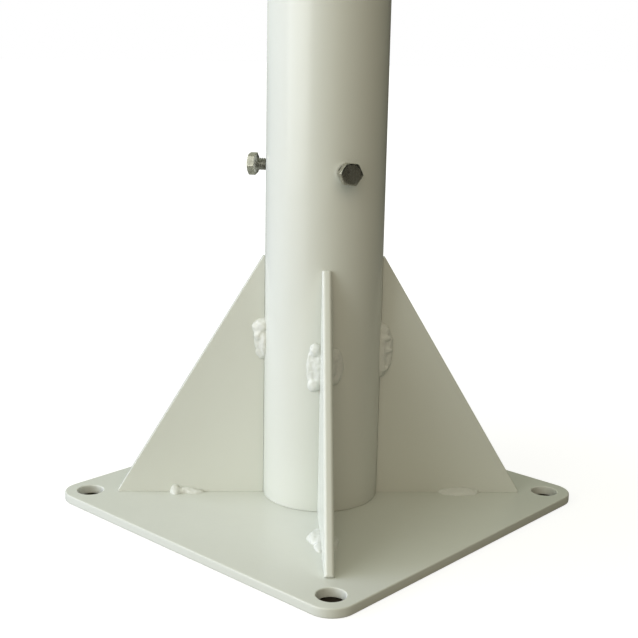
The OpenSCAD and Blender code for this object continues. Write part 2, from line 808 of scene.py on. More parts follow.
@dataclass(frozen=True)
class PowderCoat:
    """Glossy off-white powder coat on steel.

    Attributes:
        name: The material's name.
        colour: The coat's colour.
        drift_colour: Where the coat lies thinner.
        dust_colour: The painted shade in the corners.
        gloss: The coat's roughness.
        ripple_depth: Depth of the orange peel.
        ripple_scale: Ripples in a metre.
        wave_scale: Slow waves in a metre.
        wave_share: Depth of the slow waves against the ripple's.
        drift_scale: Cloudy patches in a metre.
        drift_share: How far the patches go towards the thinner coat's colour.
        speck_scale: Places in a metre that could hold a speck.
        speck_share: Share of them that hold one.
        speck_size: A speck's size against the gap between places.
        speck_rise: A speck's height against the ripple's.
        seam_reach: How far from a corner the painted shade reaches.
        seam_strength: How dark the painted shade in the corners gets.
    """

    name: str = "powder_coat"
    colour: Colour = (0.66, 0.685, 0.635, 1.0)
    drift_colour: Colour = (0.635, 0.655, 0.595, 1.0)
    dust_colour: Colour = (0.30, 0.27, 0.20, 1.0)
    gloss: float = 0.24
    ripple_depth: float = 0.03 * MM
    ripple_scale: float = 420.0
    wave_scale: float = 45.0
    wave_share: float = 6.0
    drift_scale: float = 9.0
    drift_share: float = 0.35
    speck_scale: float = 240.0
    speck_share: float = 0.05
    speck_size: float = 0.2
    speck_rise: float = 2.0
    seam_reach: float = 2.5 * MM
    seam_strength: float = 0.11

    def build(self, kit: ShaderKit) -> bpy.types.Material:
        """Makes the material.

        Args:
            kit: The shared node groups.

        Returns:
            The material.
        """
        material, nodes, shader = new_material(self.name)
        drift = kit.slow_drift.placed(
            nodes,
            Colour=self.colour,
            Other_Colour=self.drift_colour,
            Scale=self.drift_scale,
            Strength=self.drift_share,
        )
        # Painted shade darkens the coat in its corners and seams.
        seam = kit.seam_shade.placed(
            nodes,
            Colour=drift["Colour"],
            Dust_Colour=self.dust_colour,
            Reach=self.seam_reach,
            Strength=self.seam_strength,
        )
        nodes.feed(shader.inputs["Base Color"], seam["Colour"])
        smudge = nodes.noise(nodes.place(), 30.0, detail=1.0)
        spread = nodes.ramp(smudge, 0.2, 0.8, self.gloss * 0.92, self.gloss * 1.1)
        nodes.feed(shader.inputs["Roughness"], nodes.maths("ADD", spread, seam["Mask"]))
        shader.inputs["IOR"].default_value = 1.5
        peel = kit.orange_peel.placed(
            nodes,
            Ripple_Scale=self.ripple_scale,
            Wave_Scale=self.wave_scale,
            Wave_Share=self.wave_share,
        )
        nibs = kit.specks.placed(
            nodes, Scale=self.speck_scale, Share=self.speck_share, Size=self.speck_size
        )
        raised = nodes.maths("MULTIPLY", nibs["Mask"], self.speck_rise)
        add_bump(nodes, shader, nodes.maths("ADD", peel["Height"], raised), self.ripple_depth)
        return material


@dataclass(frozen=True)
class BoreOverspray:
    """The tube's inside: coated near the mouth, and thinning to mill steel below.

    Attributes:
        name: The material's name.
        coat: The coat's colour.
        steel: The bare steel's colour.
        rust: The colour of its stains.
        fray: How far the coat's lower end wanders up and down.
        ripple_depth: Depth of the orange peel.
        coated_from: Height above which the coat is full.
        bare_below: Height below which the steel is bare.
    """

    coated_from: float
    bare_below: float
    name: str = "bore_overspray"
    coat: Colour = (0.72, 0.715, 0.63, 1.0)
    steel: Colour = (0.20, 0.19, 0.18, 1.0)
    rust: Colour = (0.16, 0.13, 0.11, 1.0)
    fray: float = 60 * MM
    ripple_depth: float = 0.06 * MM

    def build(self, kit: ShaderKit) -> bpy.types.Material:
        """Makes the material.

        Args:
            kit: The shared node groups.

        Returns:
            The material.
        """
        material, nodes, shader = new_material(self.name)
        parts = nodes.add("ShaderNodeSeparateXYZ")
        nodes.feed(parts.inputs[0], nodes.place())
        wobble = nodes.noise(nodes.place(), 60.0, detail=4.0, rough=0.7)
        shift = nodes.maths("MULTIPLY", nodes.maths("SUBTRACT", wobble, 0.5), self.fray)
        height = nodes.maths("ADD", parts.outputs[2], shift)
        coated = nodes.ramp(height, self.bare_below, self.coated_from)
        drift = kit.slow_drift.placed(
            nodes, Colour=self.steel, Other_Colour=self.rust, Scale=90.0, Strength=0.8
        )
        nodes.feed(shader.inputs["Base Color"], nodes.mix(coated, drift["Colour"], self.coat))
        bare = nodes.maths("SUBTRACT", 1.0, coated)
        nodes.feed(shader.inputs["Metallic"], nodes.maths("MULTIPLY", bare, 0.8))
        nodes.feed(shader.inputs["Roughness"], nodes.ramp(wobble, 0.2, 0.8, 0.35, 0.6))
        peel = kit.orange_peel.placed(
            nodes, Ripple_Scale=700.0, Wave_Scale=60.0, Wave_Share=1.0
        )
        add_bump(nodes, shader, peel["Height"], self.ripple_depth)
        return material


@dataclass(frozen=True)
class ZincPlate:
    """Dull zinc plating on a bolt.

    Attributes:
        name: The material's name.
        colour: The plating's colour.
        dull_colour: Where it is stained.
        scratch_colour: Its fine scratches.
        grime_colour: The painted shade in its corners and thread roots.
        gloss: Its roughness.
        crevice_shade: How dark the painted shade in its corners is.
        grime_reach: How far from a corner the painted shade reaches.
        stain_scale: Stains in a metre.
        stain_share: How far the stains go towards the dull colour.
        scratch_scale: Scratches in a metre.
        scratch_share: How far a scratch goes towards its own colour.
        scratch_depth: Depth of a scratch.
    """

    name: str = "zinc_plate"
    colour: Colour = (0.50, 0.485, 0.42, 1.0)
    dull_colour: Colour = (0.32, 0.31, 0.26, 1.0)
    scratch_colour: Colour = (0.72, 0.71, 0.67, 1.0)
    grime_colour: Colour = (0.05, 0.045, 0.035, 1.0)
    gloss: float = 0.27
    crevice_shade: float = 0.0
    grime_reach: float = 0.8 * MM
    stain_scale: float = 260.0
    stain_share: float = 0.7
    scratch_scale: float = 2600.0
    scratch_share: float = 0.35
    scratch_depth: float = 0.001 * MM

    def build(self, kit: ShaderKit) -> bpy.types.Material:
        """Makes the material.

        Args:
            kit: The shared node groups.

        Returns:
            The material.
        """
        material, nodes, shader = new_material(self.name)
        drift = kit.slow_drift.placed(
            nodes,
            Colour=self.colour,
            Other_Colour=self.dull_colour,
            Scale=self.stain_scale,
            Strength=self.stain_share,
        )
        # Painted shade darkens the plating in its corners and thread roots.
        seam = kit.seam_shade.placed(
            nodes,
            Colour=drift["Colour"],
            Dust_Colour=self.grime_colour,
            Reach=self.grime_reach,
            Strength=self.crevice_shade,
        )
        marks = kit.scratches.placed(nodes, Scale=self.scratch_scale, Sparseness=0.6)
        bright = nodes.maths("MULTIPLY", marks["Mask"], self.scratch_share)
        colour = nodes.mix(bright, seam["Colour"], self.scratch_colour)
        nodes.feed(shader.inputs["Base Color"], colour)
        shader.inputs["Metallic"].default_value = 1.0
        rough = nodes.ramp(drift["Mask"], 0.0, 1.0, self.gloss * 0.8, self.gloss * 1.5)
        nodes.feed(shader.inputs["Roughness"], rough)
        add_bump(nodes, shader, marks["Mask"], self.scratch_depth)
        return material


@dataclass(frozen=True)
class Finishes:
    """The materials that the pieces wear."""

    coat: bpy.types.Material
    weld_coat: bpy.types.Material
    bore: bpy.types.Material
    zinc: bpy.types.Material
    thread: bpy.types.Material

    @classmethod
    def build(cls, sizes: MastSizes) -> "Finishes":
        """Makes every finish.

        Args:
            sizes: Where the coat thins inside the tube comes from these.

        Returns:
            The finishes.
        """
        kit = ShaderKit()
        weld = PowderCoat(
            name="weld_coat",
            colour=(0.69, 0.71, 0.675, 1.0),
            drift_colour=(0.645, 0.665, 0.61, 1.0),
            gloss=0.28,
            ripple_depth=0.06 * MM,
            ripple_scale=700.0,
            wave_share=1.5,
            seam_reach=1.2 * MM,
        )
        bore = BoreOverspray(
            coated_from=sizes.tube_top - 20 * MM, bare_below=sizes.tube_top - 110 * MM
        )
        # Painted shade darkens the thread's roots and the corners round it.
        thread = ZincPlate(
            name="oily_thread",
            colour=(0.36, 0.355, 0.30, 1.0),
            dull_colour=(0.12, 0.115, 0.09, 1.0),
            gloss=0.3,
            crevice_shade=0.9,
        )
        return cls(
            coat=PowderCoat().build(kit),
            weld_coat=weld.build(kit),
            bore=bore.build(kit),
            zinc=ZincPlate().build(kit),
            thread=thread.build(kit),
        )


# ---------------------------------------------------------------------- sub-assemblies


@dataclass
class FootPlate:
    """The square plate that the mast stands on.

    Attributes:
        sizes: Sizes from the frame.
        finishes: The materials.
        corner_radius: Round of the plate's corners.
        edge: Round that the thick coat leaves on every edge.
    """

    sizes: MastSizes
    finishes: Finishes
    corner_radius: float = 16 * MM
    edge: RoundedEdge = RoundedEdge(radius=0.9 * MM, steps=6)

    def build(self) -> None:
        """Builds the plate and dresses it."""
        half = self.sizes.plate_half
        reach = self.sizes.anchor_half
        outline = RoundedOutline(
            corners=((-half, -half), (half, -half), (half, half), (-half, half)),
            radii=(self.corner_radius,) * 4,
            shares=(1.0,) * 4,
        )
        holes = tuple(
            PlateHole((x * reach, y * reach), self.sizes.anchor_radius)
            for x in (-1, 1)
            for y in (-1, 1)
        )
        plate = CutPlate(outline, self.sizes.plate_top, self.edge, holes)
        piece = plate.shell().piece("foot_plate", [self.finishes.coat])
        mount_piece(piece, "base", "base_plate")


@dataclass
class DrilledTube:
    """The outer tube, with a round hole through its wall for each set bolt.

    Attributes:
        sizes: Sizes from the frame.
        finishes: The materials.
        bolt_turns: Directions of the bolts, in degrees, a third of a turn apart.
        hole_radius: Radius of the tapped holes.
        columns: Flats round the tube, a multiple of three.
        patch: Flats from a hole's middle to the side of the square patch round it.
        rows_below: Rows of faces under the holes.
        rows_above: Rows of faces over the holes.
        rim_round: Round of the tube's ends.
        sink: Depth of the countersink round a hole.
        ridge: Height of the burr that the coat covers round a hole.
    """

    sizes: MastSizes
    finishes: Finishes
    bolt_turns: tuple[float, ...]
    hole_radius: float = 4.05 * MM
    columns: int = 180
    patch: int = 6
    rows_below: int = 24
    rows_above: int = 18
    rim_round: float = 0.7 * MM
    sink: float = 0.25 * MM
    ridge: float = 0.22 * MM

    def build(self) -> None:
        """Builds the tube and dresses it."""
        shell = Shell()
        outer = self._wall(shell, self.sizes.tube_radius, 0)
        inner = self._wall(shell, self.sizes.bore_radius, 1)
        self._close_end(shell, outer[0][0], inner[0][0], -1)
        self._close_end(shell, outer[0][-1], inner[0][-1], 1)
        for outside, inside in zip(outer[1], inner[1]):
            shell.bridge(outside, inside, 1)
        piece = shell.piece("mast_tube_shell", [self.finishes.coat, self.finishes.bore])
        mount_piece(piece, "base", "mast_tube")

    def _levels(self) -> list[float]:
        """Heights of the wall's rows, with the patches' rows in the middle."""
        low = self.sizes.plate_top + self.rim_round
        high = self.sizes.tube_top - self.rim_round
        half = self._patch_half()
        middle = self.sizes.bolt_height
        spans = (
            (low, middle - half, self.rows_below),
            (middle - half, middle + half, 2 * self.patch),
            (middle + half, high, self.rows_above),
        )
        levels = [low]
        for start, end, count in spans:
            levels += [start + (end - start) * (i + 1) / count for i in range(count)]
        return levels

    def _patch_half(self) -> float:
        """Half the height of a patch, which is square on the tube's outside."""
        return self.sizes.tube_radius * math.sin(FULL_TURN * self.patch / self.columns)

    def _point(self, radius: float, column: float, z: float) -> Vector:
        """Point on a wall at a column counted from the first bolt."""
        degrees = self.bolt_turns[0] + FULL_DEGREES * column / self.columns
        return polar(radius, degrees, z)

    def _wall(
        self, shell: Shell, radius: float, finish: int
    ) -> tuple[list[Loop], list[Loop]]:
        """Builds one face of the tube's wall, with its holes.

        Args:
            shell: The shell that the wall joins.
            radius: The wall's radius.
            finish: Index of the wall's material.

        Returns:
            The wall's rows, and the rim of each hole.
        """
        levels = self._levels()
        rows = [self._ring(shell, radius, z) for z in levels]
        first = self.rows_below
        patch_rows = range(first, first + 2 * self.patch)
        holes = len(self.bolt_turns)
        middles = [i * self.columns // holes for i in range(holes)]
        patched = {
            (m + k) % self.columns for m in middles for k in range(-self.patch, self.patch)
        }
        for r in range(len(levels) - 1):
            for c in range(self.columns):
                if r in patch_rows and c in patched:
                    continue
                d = (c + 1) % self.columns
                face = shell.mesh.faces.new(
                    (rows[r][c], rows[r][d], rows[r + 1][d], rows[r + 1][c])
                )
                face.material_index = finish
        rims = [self._hole(shell, rows, radius, m, finish) for m in middles]
        for column in sorted(patched):
            for r in patch_rows[1:]:
                vert = rows[r][column]
                if not vert.link_faces:
                    shell.mesh.verts.remove(vert)
        return rows, rims

    def _border(self, rows: list[Loop], middle: int) -> Loop:
        """The square border of a patch, anticlockwise from the middle of its right side."""
        half = self.patch
        base = self.rows_below + half
        steps = [(half, k) for k in range(half)]
        steps += [(k, half) for k in range(half, -half, -1)]
        steps += [(-half, k) for k in range(half, -half, -1)]
        steps += [(k, -half) for k in range(-half, half)]
        steps += [(half, k) for k in range(-half, 0)]
        return [rows[base + up][(middle + across) % self.columns] for across, up in steps]

    def _hole(
        self, shell: Shell, rows: list[Loop], radius: float, middle: int, finish: int
    ) -> Loop:
        """Fills one patch with rings that run from its border to the hole.

        Args:
            shell: The shell that the rings join.
            rows: The wall's rows.
            radius: The wall's radius.
            middle: Column of the hole's centre.
            finish: Index of the wall's material.

        Returns:
            The hole's rim.
        """
        border = self._border(rows, middle)
        turn = self.bolt_turns[0] + FULL_DEGREES * middle / self.columns
        outward = polar(1, turn)
        across = polar(1, turn + 90)
        height = self.sizes.bolt_height
        flats = [(v.co.dot(across), v.co.z - height) for v in border]
        outside = finish == 0
        # Each ring's radius, its rise off the wall, and its share of the square border.
        rings = (
            (6.6 * MM, 0.0, 0.25),
            (6.2 * MM, 0.45 * self.ridge, 0.0),
            (5.7 * MM, self.ridge, 0.0),
            (5.1 * MM, 0.85 * self.ridge, 0.0),
            (4.6 * MM, 0.2 * self.ridge, 0.0),
            (self.hole_radius, -self.sink, 0.0),
        )
        loops = [border]
        for reach, rise, blend in rings:
            points = []
            for i, (flat_y, flat_z) in enumerate(flats):
                angle = FULL_TURN * i / len(flats)
                y = reach * math.cos(angle) * (1 - blend) + flat_y * blend
                z = reach * math.sin(angle) * (1 - blend) + flat_z * blend
                x = math.sqrt(radius**2 - y**2) + (rise if outside else 0.0)
                points.append(outward * x + across * y + UP * (height + z))
            loops.append(shell.loop(points))
        shell.skin(loops, finish)
        return loops[-1]

    def _close_end(self, shell: Shell, outer: Loop, inner: Loop, way: int) -> None:
        """Closes one end of the tube with a rim whose edges are rounded.

        Args:
            shell: The shell that the rim joins.
            outer: The outside wall's last row.
            inner: The inside wall's last row.
            way: 1 at the top and -1 at the bottom.
        """
        round_steps = 5
        turns = [QUARTER_TURN * i / round_steps for i in range(round_steps + 1)]
        base = outer[0].co.z
        rims = [(self.sizes.tube_radius, -self.rim_round, turn) for turn in turns[1:]]
        rims += [(self.sizes.bore_radius, self.rim_round, turn) for turn in turns[:0:-1]]
        loops = [outer]
        for wall, inset, turn in rims:
            radius = wall + inset * (1 - math.cos(turn))
            loops.append(self._ring(shell, radius, base + way * self.rim_round * math.sin(turn)))
        loops.append(inner)
        shell.skin(loops, 0)

    def _ring(self, shell: Shell, radius: float, z: float) -> Loop:
        """A plain ring of points at a radius and a height."""
        return shell.loop(self._point(radius, c, z) for c in range(self.columns))


@dataclass
class GussetSet:
    """The four triangular webs between the plate and the tube.

    Attributes:
        sizes: Sizes from the frame.
        finishes: The materials.
        ground_edge: Round of the front web's edges, which are ground.
        cut_edge: Round of the other webs' edges, as they were cut.
        nose_flat: Width of the flat that the CAD leaves at a web's top.
        toe_flat: Height of the flat that the CAD leaves at a web's toe.
        seam_round: Round along the plate and the tube, where the coat fills it.
        seat: Round of the corner where web, tube and plate meet.
        tip: Round of the other corners past the edge's round and its support.
    """

    sizes: MastSizes
    finishes: Finishes
    ground_edge: RoundedEdge = RoundedEdge(radius=2.1 * MM, steps=7)
    cut_edge: RoundedEdge = RoundedEdge(radius=0.5 * MM, steps=4)
    nose_flat: float = 1.0 * MM
    toe_flat: float = 1.5 * MM
    seam_round: float = 0.16 * MM
    seat: float = 0.7 * MM
    tip: float = 0.35 * MM

    def build(self) -> None:
        """Builds the webs and dresses them."""
        upright = Matrix.Rotation(QUARTER_TURN, 4, "X")
        centred = Matrix.Translation((0, self.sizes.web_thickness / 2, 0))
        for corner in Corner:
            edge = self.ground_edge if corner is Corner.FRONT else self.cut_edge
            web = CutPlate(self._outline(edge), self.sizes.web_thickness, edge)
            place = turned(corner.value) @ centred @ upright
            piece = web.shell().piece(f"web_{corner.label}", [self.finishes.coat], place)
            mount_piece(piece, "base", f"gusset_{corner.label}")

    def _outline(self, edge: RoundedEdge) -> RoundedOutline:
        """A web's outline, with X away from the tube and Y up.

        Args:
            edge: The web's edge.

        Returns:
            The outline, whose round is smaller along the plate and the tube.
        """
        low = self.sizes.plate_top
        rise = self.sizes.web_top - low
        reach = self.sizes.web_toe - self.sizes.tube_radius
        slope = (rise - self.toe_flat) / (reach - self.nose_flat)
        corners = (
            (self.sizes.tube_radius, low),
            (self.sizes.web_toe + self.toe_flat / slope, low),
            (self.sizes.tube_radius, self.sizes.web_top + self.nose_flat * slope),
        )
        share = self.seam_round / edge.radius
        tip = (edge.radius + edge.support) * (1 + share) / 2 + self.tip
        return RoundedOutline(corners, (self.seat, tip, tip), (share, 1.0, share), steps=8)


class Spot(NamedTuple):
    """One drop of weld metal, in millimetres.

    Attributes:
        at: Place along the seam, from the bead's middle.
        beside: Distance from the seam, along the tube or the plate.
        along: Half length along the seam.
        rise: Half height off the tube or the plate.
        spread: Half width away from the web.
    """

    at: float
    beside: float
    along: float
    rise: float
    spread: float


class Bead(Enum):
    """The beads' forms, as the drops that run together in each."""

    HEAVY_TOP = (
        Spot(19, 0, 6.2, 8.6, 4.2), Spot(20, 2.5, 4.6, 5.0, 3.4), Spot(14, 1.5, 4.4, 7.6, 3.6),
        Spot(9, 0, 7.0, 7.2, 3.6), Spot(3, 0, 6.0, 6.0, 3.2), Spot(9, 2.5, 9.0, 3.4, 4.0),
    )
    TWO_STARTS = (
        Spot(1, 0, 15, 3.0, 4.0), Spot(1, 4, 14, 1.7, 5.0), Spot(12.5, 3.0, 4.6, 3.5, 4.0),
        Spot(-10, 3.8, 4.8, 3.4, 4.2), Spot(3, 2, 7, 2.3, 3.6),
    )
    LONG_LENS = (
        Spot(4, 0, 19, 8.4, 3.0), Spot(2, 2.5, 16, 4.0, 4.0), Spot(10, 0, 6.5, 8.6, 3.8),
        Spot(-4, 0, 7, 7.4, 3.6), Spot(17, 1, 4, 6.0, 3.2), Spot(13, 3, 2.6, 7.0, 2.6),
        Spot(5, 2.5, 2.6, 8.2, 2.2), Spot(-7, 3, 3.0, 6.0, 2.8),
    )
    THIN_RUN = (
        Spot(2, 0, 14, 4.2, 4.6), Spot(2, 4, 12, 2.2, 5.0), Spot(8, 3, 4, 3.4, 3.4),
        Spot(-6, 3, 4, 3.2, 3.4),
    )
    BALL_AND_TAIL = (
        Spot(8.4, 0.5, 3.9, 5.2, 4.4), Spot(8, 3, 3.0, 3.2, 3.0), Spot(1, 0, 8, 3.6, 3.4),
        Spot(-4, 1, 7, 2.4, 3.4),
    )
    LOW_RUN = (Spot(6, 0, 15, 3.6, 3.8), Spot(6, 2.5, 13, 2.2, 4.2), Spot(13, 1, 4, 3.3, 3.6))
    SIDE_LUMP = (
        Spot(-7, 2.8, 8.4, 4.6, 4.8), Spot(-7, 0, 13, 4.6, 3.8), Spot(4, 1, 8, 3.0, 3.4),
        Spot(-15, 1, 6.5, 3.0, 3.4), Spot(-9, 5.5, 4.4, 2.6, 3.0),
    )
    SHORT_RUN = (Spot(0, 0, 10, 3.4, 3.8), Spot(-4, 2, 7, 2.4, 3.6), Spot(5, 1, 4, 3.6, 3.4))


# From the front web round to the left one, first a web's left side and then its right.
WEB_SIDES = tuple(product(Corner, Side))
TUBE_BEADS = (
    Bead.TWO_STARTS, Bead.THIN_RUN, Bead.LONG_LENS, Bead.TWO_STARTS,
    Bead.HEAVY_TOP, Bead.LONG_LENS, Bead.THIN_RUN, Bead.HEAVY_TOP,
)
PLATE_BEADS = (
    Bead.SIDE_LUMP, Bead.SHORT_RUN, Bead.LOW_RUN, Bead.BALL_AND_TAIL,
    Bead.SHORT_RUN, Bead.SIDE_LUMP, Bead.LOW_RUN, Bead.BALL_AND_TAIL,
)


@dataclass
class TackWelds:
    """Short lumpy beads in the corners between the webs, the tube and the plate.

    Attributes:
        sizes: Sizes from the frame.
        finishes: The materials.
        voxel: Size of the grid that fuses the drops.
        root: How far a bead reaches under the faces that it joins.
        melt: How many times the fused drops are smoothed.
        slump: Size of the uneven waves on cooled metal.
        slump_scale: Such waves in a metre.
        scale: Size of the finer scale on it.
        fine_scale: Flakes of scale in a metre.
        plate_seed: Seed of the first bead on the plate.
    """

    sizes: MastSizes
    finishes: Finishes
    voxel: float = 0.45 * MM
    root: float = 0.8 * MM
    melt: int = 15
    slump: float = 0.34 * MM
    slump_scale: float = 380.0
    scale: float = 0.1 * MM
    fine_scale: float = 1000.0
    plate_seed: int = 20

    def build(self) -> None:
        """Builds the beads and dresses them, with the noise the same in each run."""
        noise.seed_set(NOISE_SEED)
        for seed, ((corner, side), form) in enumerate(zip(WEB_SIDES, TUBE_BEADS)):
            node = f"weld_tube_{corner.label}_{side.label}"
            self._bead(node, corner, side, self._tube_seat, form, seed)
        for seed, ((corner, side), form) in enumerate(
            zip(WEB_SIDES, PLATE_BEADS), start=self.plate_seed
        ):
            node = f"weld_plate_{corner.label}_{side.label}"
            self._bead(node, corner, side, self._plate_seat, form, seed)

    def _tube_seat(self, middle: tuple[float, ...], side: Side, spot: Spot) -> Matrix:
        """Where a drop lies on the tube, with X off it and Z along the seam.

        Args:
            middle: The bead's middle, with X along its web.
            side: The web's face.
            spot: The drop.

        Returns:
            The drop's place.
        """
        radius = self.sizes.tube_radius
        turn = self.sizes.web_thickness / 2 / radius + spot.beside * MM / radius
        degrees = math.degrees(side.value * turn)
        point = polar(radius, degrees, middle[2] + spot.at * MM)
        return Matrix.Translation(point) @ turned(degrees)

    def _plate_seat(self, middle: tuple[float, ...], side: Side, spot: Spot) -> Matrix:
        """Where a drop lies on the plate. See _tube_seat."""
        beside = self.sizes.web_thickness / 2 + spot.beside * MM
        point = (middle[0] + spot.at * MM, side.value * beside, self.sizes.plate_top)
        return Matrix.Translation(point) @ Matrix.Rotation(QUARTER_TURN, 4, "Y")

    def _middle(self, node: str, corner: Corner) -> tuple[float, ...]:
        """The middle of a CAD bead's box, with X along its web."""
        turn_back = turned(-corner.value)
        points = [turn_back @ v.co for v in frame["nodes"][node].data.vertices]
        return tuple((min(axis) + max(axis)) / 2 for axis in zip(*points))

    def _bead(
        self,
        node: str,
        corner: Corner,
        side: Side,
        seat: Callable[[tuple[float, ...], Side, Spot], Matrix],
        form: Bead,
        seed: int,
    ) -> None:
        """Lays drops along a seam, fuses them and presses them into the corner.

        Args:
            node: The CAD node that the bead stands for.
            corner: The web's corner.
            side: The web's face.
            seat: Gives a drop's place from the bead's middle.
            form: The bead's form.
            seed: Seed of the bead's unevenness.
        """
        middle = self._middle(node, corner)
        drops = bmesh.new()
        for spot in form.value:
            half_sizes = Matrix.Diagonal((spot.rise, spot.spread, spot.along, 1 / MM)) * MM
            place = seat(middle, side, spot) @ half_sizes
            bmesh.ops.create_icosphere(drops, subdivisions=3, radius=1, matrix=place)
        data = bpy.data.meshes.new("drops")
        drops.to_mesh(data)
        drops.free()
        shell = Shell()
        shell.mesh.from_mesh(self._fused(data))
        for _ in range(self.melt):
            bmesh.ops.smooth_vert(
                shell.mesh,
                verts=shell.mesh.verts,
                factor=0.5,
                use_axis_x=True,
                use_axis_y=True,
                use_axis_z=True,
            )
        for vert in shell.mesh.verts:
            self._roughen(vert, seed)
            self._press(vert, side)
        bmesh.ops.dissolve_degenerate(shell.mesh, dist=0.02 * MM, edges=shell.mesh.edges)
        name = node.replace("weld_", "bead_")
        piece = shell.piece(name, [self.finishes.weld_coat], turned(corner.value))
        mount_piece(piece, "base", node)

    def _fused(self, data: bpy.types.Mesh) -> bpy.types.Mesh:
        """Fuses overlapping drops into one skin.

        Args:
            data: The drops' mesh.

        Returns:
            A mesh with one closed skin.
        """
        lump = put("lump", data)
        fuse = lump.modifiers.new("fuse", "REMESH")
        fuse.mode = "VOXEL"
        fuse.voxel_size = self.voxel
        depsgraph = bpy.context.evaluated_depsgraph_get()
        fused = bpy.data.meshes.new_from_object(lump.evaluated_get(depsgraph))
        bpy.data.objects.remove(lump)
        return fused

    def _roughen(self, vert: BMVert, seed: int) -> None:
        """Moves a point by a little noise, as cooled metal is uneven."""
        wave = noise.noise_vector(vert.co * self.slump_scale + Vector((seed, 0, 0)))
        flake = noise.noise_vector(vert.co * self.fine_scale + Vector((0, seed, 0)))
        vert.co += wave * self.slump + flake * self.scale

    def _press(self, vert: BMVert, side: Side) -> None:
        """Keeps a point from going deeper than the root into web, tube or plate."""
        seam = self.sizes.web_thickness / 2 - self.root
        if vert.co.y * side.value < seam:
            vert.co.y = side.value * seam
        vert.co.z = max(vert.co.z, self.sizes.plate_top - self.root)
        deep = self.sizes.tube_radius - self.root
        flat = math.hypot(vert.co.x, vert.co.y)
        if flat < deep:
            vert.co.x *= deep / flat
            vert.co.y *= deep / flat


@dataclass(frozen=True)
class BoltForm:
    """A hexagon bolt of the M8 size, with its thread along +Z from the head's seat.

    Attributes:
        across_flats: Head width.
        washer_face: Height of the round face under the head.
        chamfer_run: How far the head's top cone runs out for each unit down.
        face_margin: How far the head's top circle lies inside the flats.
        pitch: Thread pitch.
        crest: Radius of the thread's crest.
        depth: Depth of the thread.
        tip_chamfer: Length of the tip's chamfer.
        flank: Steepness of the thread's flanks.
        root_flat: How far the flanks start from the thread's root.
        soft: Wear on the head's edges.
        flats: Flats round the bolt.
        steps: Rings along one turn of the thread.
    """

    across_flats: float = 13 * MM
    washer_face: float = 0.4 * MM
    chamfer_run: float = 2.4
    face_margin: float = 0.3 * MM
    pitch: float = 1.25 * MM
    crest: float = 3.96 * MM
    depth: float = 0.68 * MM
    tip_chamfer: float = 0.8 * MM
    flank: float = 2.6
    root_flat: float = 0.25
    soft: float = 0.14 * MM
    flats: int = 96
    steps: int = 12

    def hexagon(self, angle: float, turn: float, inset: float = 0.0) -> float:
        """Distance of the head's side from the axis.

        Args:
            angle: Direction from the axis.
            turn: Direction of one of the head's corners.
            inset: How far the side moves inward.

        Returns:
            The distance.
        """
        sixth = FULL_TURN / 6
        off = (angle - turn) % sixth - sixth / 2
        return (self.across_flats / 2 - inset) / math.cos(off)


